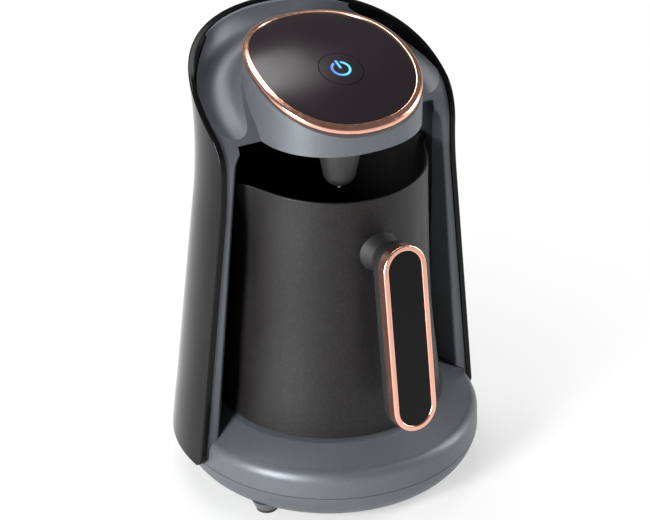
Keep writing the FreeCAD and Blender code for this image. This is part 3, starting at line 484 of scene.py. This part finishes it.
@dataclass(frozen=True)
class LitGuide:
    """A light guide lit from behind, brighter at one end."""

    name: str
    bright: Colour
    deep: Colour
    strength: float = 1.0
    ends: Range = (-0.005, 0.003)
    cloud_scale: float = 800.0
    spread: Range = (0.25, 0.4)
    frost: Relief = Relief(900.0, 2.0, 0.1, 0.00003)

    def make(self) -> bpy.types.Material:
        """Build the material."""
        recipe = Recipe(self.name)
        split = recipe.node("ShaderNodeSeparateXYZ")
        recipe.link(recipe.place, split.inputs["Vector"])
        glow = recipe.blend(recipe.remap(split.outputs["X"], self.ends, FULL), self.deep, self.bright)
        recipe.paint(glow)
        recipe.link(glow, recipe.shader.inputs["Emission Color"])
        recipe.fixed(Emission_Strength=self.strength)
        recipe.roughen(recipe.remap(recipe.noise(self.cloud_scale, 2.0), MIDDLE, self.spread))
        recipe.carve(self.frost)
        return recipe.material


@dataclass
class Finishes:
    """Every finish of the machine, made once."""

    gunmetal: SatinPaint = SatinPaint("gunmetal", (0.080, 0.089, 0.100), (0.15, 0.163, 0.180))
    gloss_black: GlossPlastic = GlossPlastic("gloss_black", (0.003, 0.003, 0.0035), 0.09, 0.14)
    gloss_panel: GlossPlastic = GlossPlastic("gloss_panel", (0.013, 0.0092, 0.0115), 0.16, 0.28)
    copper_trim: PlatedMetal = PlatedMetal("copper_trim", (0.93, 0.52, 0.40), (0.84, 0.42, 0.31))
    pot_coating: SparkleCoating = SparkleCoating("pot_coating", (0.0035, 0.003, 0.003), (0.045, 0.041, 0.038))
    black_plastic: TexturedPlastic = TexturedPlastic(
        "black_plastic", (0.008, 0.008, 0.009), (0.014, 0.014, 0.015))
    white_plastic: TexturedPlastic = TexturedPlastic("white_plastic", (0.70, 0.70, 0.66), (0.80, 0.80, 0.77))
    black_rubber: TexturedPlastic = TexturedPlastic(
        "black_rubber", (0.010, 0.010, 0.010), (0.022, 0.021, 0.020), 0.72,
        grain=Relief(1600.0, 2.0, 0.35, 0.0001))
    steel: BrushedMetal = BrushedMetal("steel", (0.62, 0.61, 0.59), (0.48, 0.47, 0.46))
    dark_plate: BrushedMetal = BrushedMetal(
        "dark_plate", (0.10, 0.10, 0.105), (0.055, 0.055, 0.058), 0.4, Lay.ROUND)
    ceramic_white: GlossPlastic = GlossPlastic("ceramic_white", (0.52, 0.51, 0.47), 0.2, 0.5)
    board_green: CircuitBoard = CircuitBoard("board_green")
    blue_light: LitGuide = LitGuide("blue_light", (0.08, 0.44, 0.85), (0.05, 0.13, 0.62))
    made: dict[str, bpy.types.Material] = field(default_factory=dict)

    def get(self, slot: str) -> bpy.types.Material:
        """The material of a slot.

        Args:
            slot: The record's slot name.

        Returns:
            The material, made on first use.
        """
        if slot not in self.made:
            self.made[slot] = getattr(self, slot).make()
        return self.made[slot]


@dataclass
class Machine:
    """The CAD nodes that keep their own shape, dressed in their record's slots."""

    finishes: Finishes

    def dress(self) -> None:
        """Give each CAD node its finish."""
        slots = {part["node"]: part["material_slot"] for part in frame["record"]["subparts"]}
        for name, node in frame["nodes"].items():
            node.data.materials.clear()
            node.data.materials.append(self.finishes.get(slots[name]))
            LOG.info("dressed %s in %s", name, slots[name])


@dataclass
class PressSpring:
    """The coil under the pot sensor cap, which shortens as the cap is pressed."""

    finishes: Finishes
    node: str = "sensor_spring"
    slot: str = "steel"
    joint: str = "sensor_cap_press"
    travel: float = 0.0021

    def build(self) -> None:
        """Build the coil from the CAD one."""
        low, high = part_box(self.node)
        data = frame["nodes"][self.node].data.copy()
        mesh = bmesh.new()
        mesh.from_mesh(data)
        bmesh.ops.remove_doubles(mesh, verts=mesh.verts, dist=MERGE_DISTANCE)
        mesh.to_mesh(data)
        mesh.free()
        data.materials.clear()
        data.materials.append(self.finishes.get(self.slot))
        piece = bpy.data.objects.new("sensor_coil", data)
        bpy.context.scene.collection.objects.link(piece)
        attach(piece, Body.ROOT.value)
        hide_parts(self.node)
        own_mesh(piece)
        LOG.info("built sensor_coil")


@dataclass
class Floor:
    """A plain pale floor that keeps the shadow and looks white far out."""

    radius: float = 6.0
    sides: int = 96
    colour: Colour = (0.86, 0.86, 0.86)
    fade_from: float = 0.10
    fade_to: float = 0.30
    white_near: float = 0.45
    mirrored: float = 0.35

    def material(self) -> bpy.types.Material:
        """The floor's finish, lit by the lamps near the machine and white far out.

        Returns:
            The material.
        """
        made = bpy.data.materials.new("floor")
        made.use_nodes = True
        made.node_tree.nodes.clear()
        wiring = Wiring(made.node_tree)
        out = wiring.node("ShaderNodeOutputMaterial")
        diffuse = wiring.node("ShaderNodeBsdfDiffuse")
        diffuse.inputs["Color"].default_value = opaque(self.colour)
        glow = wiring.node("ShaderNodeEmission")
        glow.inputs["Strength"].default_value = 1.0
        rays = wiring.node("ShaderNodeLightPath").outputs
        mirrored = wiring.reckon("MULTIPLY", rays["Is Glossy Ray"], self.mirrored)
        seen = wiring.reckon("MAXIMUM", rays["Is Camera Ray"], mirrored)
        length = wiring.node("ShaderNodeVectorMath", operation="LENGTH")
        wiring.link(wiring.node("ShaderNodeTexCoord").outputs["Object"], length.inputs[0])
        fade = wiring.remap(
            length.outputs["Value"], (self.fade_from, self.fade_to), (self.white_near, 1.0),
            interpolation_type="SMOOTHSTEP")
        share = wiring.reckon("MULTIPLY", seen, fade)
        wiring.choose(share, diffuse.outputs[0], glow.outputs[0], out.inputs["Surface"])
        return made

    def build(self) -> None:
        """Lay the floor."""
        mesh = bmesh.new()
        bmesh.ops.create_circle(mesh, cap_ends=True, segments=self.sides, radius=self.radius)
        data = bpy.data.meshes.new("floor")
        mesh.to_mesh(data)
        mesh.free()
        data.materials.append(self.material())
        piece = bpy.data.objects.new("floor", data)
        bpy.context.scene.collection.objects.link(piece)
        LOG.info("floor laid")


@dataclass
class Surround:
    """A white surround that darkens upwards, and a dimmer one as light."""

    fill: float = 0.24
    ceiling: float = 0.16
    horizon: Range = (0.0, 0.35)

    def build(self) -> None:
        """Set the world."""
        world = bpy.data.worlds.new("surround")
        bpy.context.scene.world = world
        world.use_nodes = True
        world.node_tree.nodes.clear()
        wiring = Wiring(world.node_tree)
        out = wiring.node("ShaderNodeOutputWorld")
        rays = wiring.node("ShaderNodeLightPath").outputs
        seen = wiring.reckon("MAXIMUM", rays["Is Camera Ray"], rays["Is Glossy Ray"])
        shown = wiring.reckon("MAXIMUM", seen, rays["Is Transmission Ray"])
        light = wiring.node("ShaderNodeBackground")
        light.inputs["Strength"].default_value = self.fill
        split = wiring.node("ShaderNodeSeparateXYZ")
        wiring.link(wiring.node("ShaderNodeTexCoord").outputs["Generated"], split.inputs["Vector"])
        white = wiring.node("ShaderNodeBackground")
        level = wiring.remap(split.outputs["Z"], self.horizon, (1.0, self.ceiling))
        wiring.link(level, white.inputs["Strength"])
        wiring.choose(shown, light.outputs[0], white.outputs[0], out.inputs["Surface"])
        LOG.info("surround set")


@dataclass(frozen=True)
class SoftBox:
    """A soft studio lamp, in metres and watts."""

    name: str
    place: Point
    width: float
    height: float
    power: float
    target: Point = (0.0, 0.0, 0.12)

    def hang(self) -> None:
        """Hang the lamp and turn it to its target."""
        data = bpy.data.lights.new(self.name, "AREA")
        data.shape = "RECTANGLE"
        data.size, data.size_y, data.energy = self.width, self.height, self.power
        lamp = bpy.data.objects.new(self.name, data)
        bpy.context.scene.collection.objects.link(lamp)
        lamp.location = self.place
        lamp.rotation_mode = "QUATERNION"
        lamp.rotation_quaternion = facing(self.place, self.target)
        LOG.info("lamp %s hung", self.name)


@dataclass
class Studio:
    """Floor, world, lamps and camera."""

    camera_place: Point = (-0.5289, -0.9195, 0.6890)
    camera_target: Point = (-0.0047, -0.0043, 0.1187)
    lens: float = 128.5
    sensor: float = 36.0
    lamps: tuple[SoftBox, ...] = (
        SoftBox("key", (-1.00, -0.42, 0.36), 0.30, 0.7, 24.0),
        SoftBox("strip", (0.95, -0.30, 0.50), 0.22, 0.9, 8.0),
        SoftBox("top", (0.00, 0.55, 1.35), 1.0, 0.5, 11.0),
    )

    def camera(self) -> None:
        """Set the camera at the photograph's angle."""
        data = bpy.data.cameras.new("camera")
        data.lens, data.sensor_width = self.lens, self.sensor
        data.sensor_fit = "HORIZONTAL"
        camera = bpy.data.objects.new("camera", data)
        bpy.context.scene.collection.objects.link(camera)
        camera.location = self.camera_place
        camera.rotation_mode = "QUATERNION"
        camera.rotation_quaternion = facing(self.camera_place, self.camera_target)
        bpy.context.scene.camera = camera
        LOG.info("camera set")

    def set_up(self) -> None:
        """Build the whole studio."""
        bpy.context.scene.view_settings.view_transform = "Standard"
        Floor().build()
        Surround().build()
        for lamp in self.lamps:
            lamp.hang()
        self.camera()


def main() -> None:
    """Build the pieces in order."""
    logging.basicConfig(level=logging.INFO, format="%(message)s")
    finishes = Finishes()
    Studio().set_up()
    Machine(finishes).dress()
    PressSpring(finishes).build()


if __name__ == "__main__":
    main()
